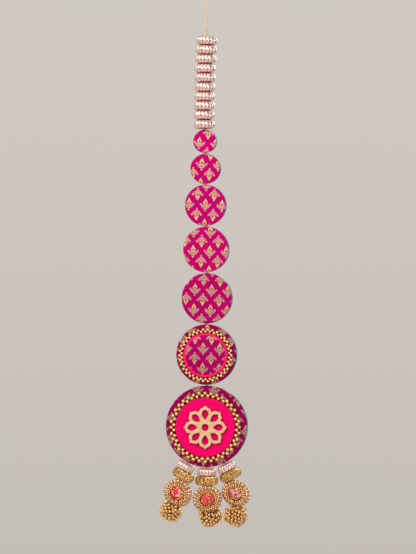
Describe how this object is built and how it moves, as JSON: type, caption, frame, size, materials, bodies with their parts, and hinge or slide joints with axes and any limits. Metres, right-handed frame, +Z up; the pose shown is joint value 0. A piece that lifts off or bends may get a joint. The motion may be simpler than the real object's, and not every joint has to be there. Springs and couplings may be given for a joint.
{
  "type": "beaded door hanging",
  "caption": "Hanging of brocade-covered round boards below a string of fluted beads, with beaded drops at its foot and a cord loop at its top.",
  "frame": {"origin": "the point inside the cord's loop, at its top, that bears on the hook or nail the hanging is hung from", "axes": "+Z up along the string, -Y out of the decorated front faces, +X to the viewer's right"},
  "size_m": [0.0842, 0.0259, 0.5324],
  "materials": {
    "cord": "twisted cream cord",
    "plated_bead": "silver-white plating, rose copper in the grooves",
    "brocade": "magenta satin brocade with pale gold woven motifs",
    "teal_cloth": "plain weave",
    "pink_cloth": "plain fine weave, hot pink",
    "gold_bead": "polished gold plating",
    "gold_paint": "thin board painted pale gold",
    "glitter_gold": "rough gold glitter coat",
    "bugle_bead": "silver-lined copper and clear bugle beads",
    "pink_enamel": "glossy hot pink with painted petals and gold dots"
  },
  "bodies": {
    "cord_and_beads": {"hanging_cord": "cord", "melon_bead_01": "plated_bead", "melon_bead_02": "plated_bead", "melon_bead_03": "plated_bead", "melon_bead_04": "plated_bead", "melon_bead_05": "plated_bead", "melon_bead_06": "plated_bead", "melon_bead_07": "plated_bead", "melon_bead_08": "plated_bead", "melon_bead_09": "plated_bead", "melon_bead_10": "plated_bead"},
    "disc_1": {"disc_1_brocade": "brocade", "disc_1_backing": "teal_cloth"},
    "disc_2": {"disc_2_brocade": "brocade", "disc_2_backing": "teal_cloth"},
    "disc_3": {"disc_3_brocade": "brocade", "disc_3_backing": "teal_cloth"},
    "disc_4": {"disc_4_brocade": "brocade", "disc_4_backing": "teal_cloth"},
    "disc_5": {"disc_5_brocade": "brocade", "disc_5_backing": "teal_cloth"},
    "disc_6": {"disc_6_brocade": "brocade", "disc_6_backing": "teal_cloth", "disc_6_pad": "brocade", "disc_6_bead_ring": "gold_bead"},
    "disc_7": {"disc_7_brocade": "brocade", "disc_7_backing": "teal_cloth", "disc_7_pink_board": "pink_cloth", "disc_7_bead_ring": "gold_bead", "disc_7_ornament": "gold_paint"},
    "drop_left": {"drop_left_melon_bead": "plated_bead", "drop_left_gold_ring": "glitter_gold", "drop_left_bugle_ring": "bugle_bead", "drop_left_dome": "pink_enamel", "drop_left_bead_bunch": "gold_bead"},
    "drop_middle": {"drop_middle_melon_bead": "plated_bead", "drop_middle_gold_ring": "glitter_gold", "drop_middle_bugle_ring": "bugle_bead", "drop_middle_dome": "pink_enamel", "drop_middle_bead_bunch": "gold_bead"},
    "drop_right": {"drop_right_melon_bead": "plated_bead", "drop_right_gold_ring": "glitter_gold", "drop_right_bugle_ring": "bugle_bead", "drop_right_dome": "pink_enamel", "drop_right_bead_bunch": "gold_bead"}
  },
  "joints": [
    {"name": "disc_1_swing", "type": "hinge", "parent": "cord_and_beads", "child": "disc_1", "pos_m": [-0.001, 0, -0.15324], "axis": [1, 0, 0], "range_deg": [-25, 25]},
    {"name": "disc_2_swing", "type": "hinge", "parent": "disc_1", "child": "disc_2", "pos_m": [-0.0005, 0, -0.17614], "axis": [1, 0, 0], "range_deg": [-25, 25]},
    {"name": "disc_3_swing", "type": "hinge", "parent": "disc_2", "child": "disc_3", "pos_m": [-0.0005, 0, -0.20554], "axis": [1, 0, 0], "range_deg": [-25, 25]},
    {"name": "disc_4_swing", "type": "hinge", "parent": "disc_3", "child": "disc_4", "pos_m": [0, 0, -0.24534], "axis": [1, 0, 0], "range_deg": [-25, 25]},
    {"name": "disc_5_swing", "type": "hinge", "parent": "disc_4", "child": "disc_5", "pos_m": [0.0008, 0, -0.28944], "axis": [1, 0, 0], "range_deg": [-25, 25]},
    {"name": "disc_6_swing", "type": "hinge", "parent": "disc_5", "child": "disc_6", "pos_m": [0.0005, 0, -0.33814], "axis": [1, 0, 0], "range_deg": [-25, 25]},
    {"name": "disc_7_swing", "type": "hinge", "parent": "disc_6", "child": "disc_7", "pos_m": [0.0006, 0, -0.39634], "axis": [1, 0, 0], "range_deg": [-25, 25]},
    {"name": "drop_left_swing", "type": "hinge", "parent": "disc_7", "child": "drop_left", "pos_m": [-0.01773, 0, -0.46987], "axis": [0.8829, 0, -0.4695], "range_deg": [-25, 25]},
    {"name": "drop_middle_swing", "type": "hinge", "parent": "disc_7", "child": "drop_middle", "pos_m": [0.0006, 0, -0.47444], "axis": [1, 0, 0], "range_deg": [-25, 25]},
    {"name": "drop_right_swing", "type": "hinge", "parent": "disc_7", "child": "drop_right", "pos_m": [0.01772, 0, -0.47049], "axis": [0.8988, 0, 0.4384], "range_deg": [-25, 25]}
  ]
}
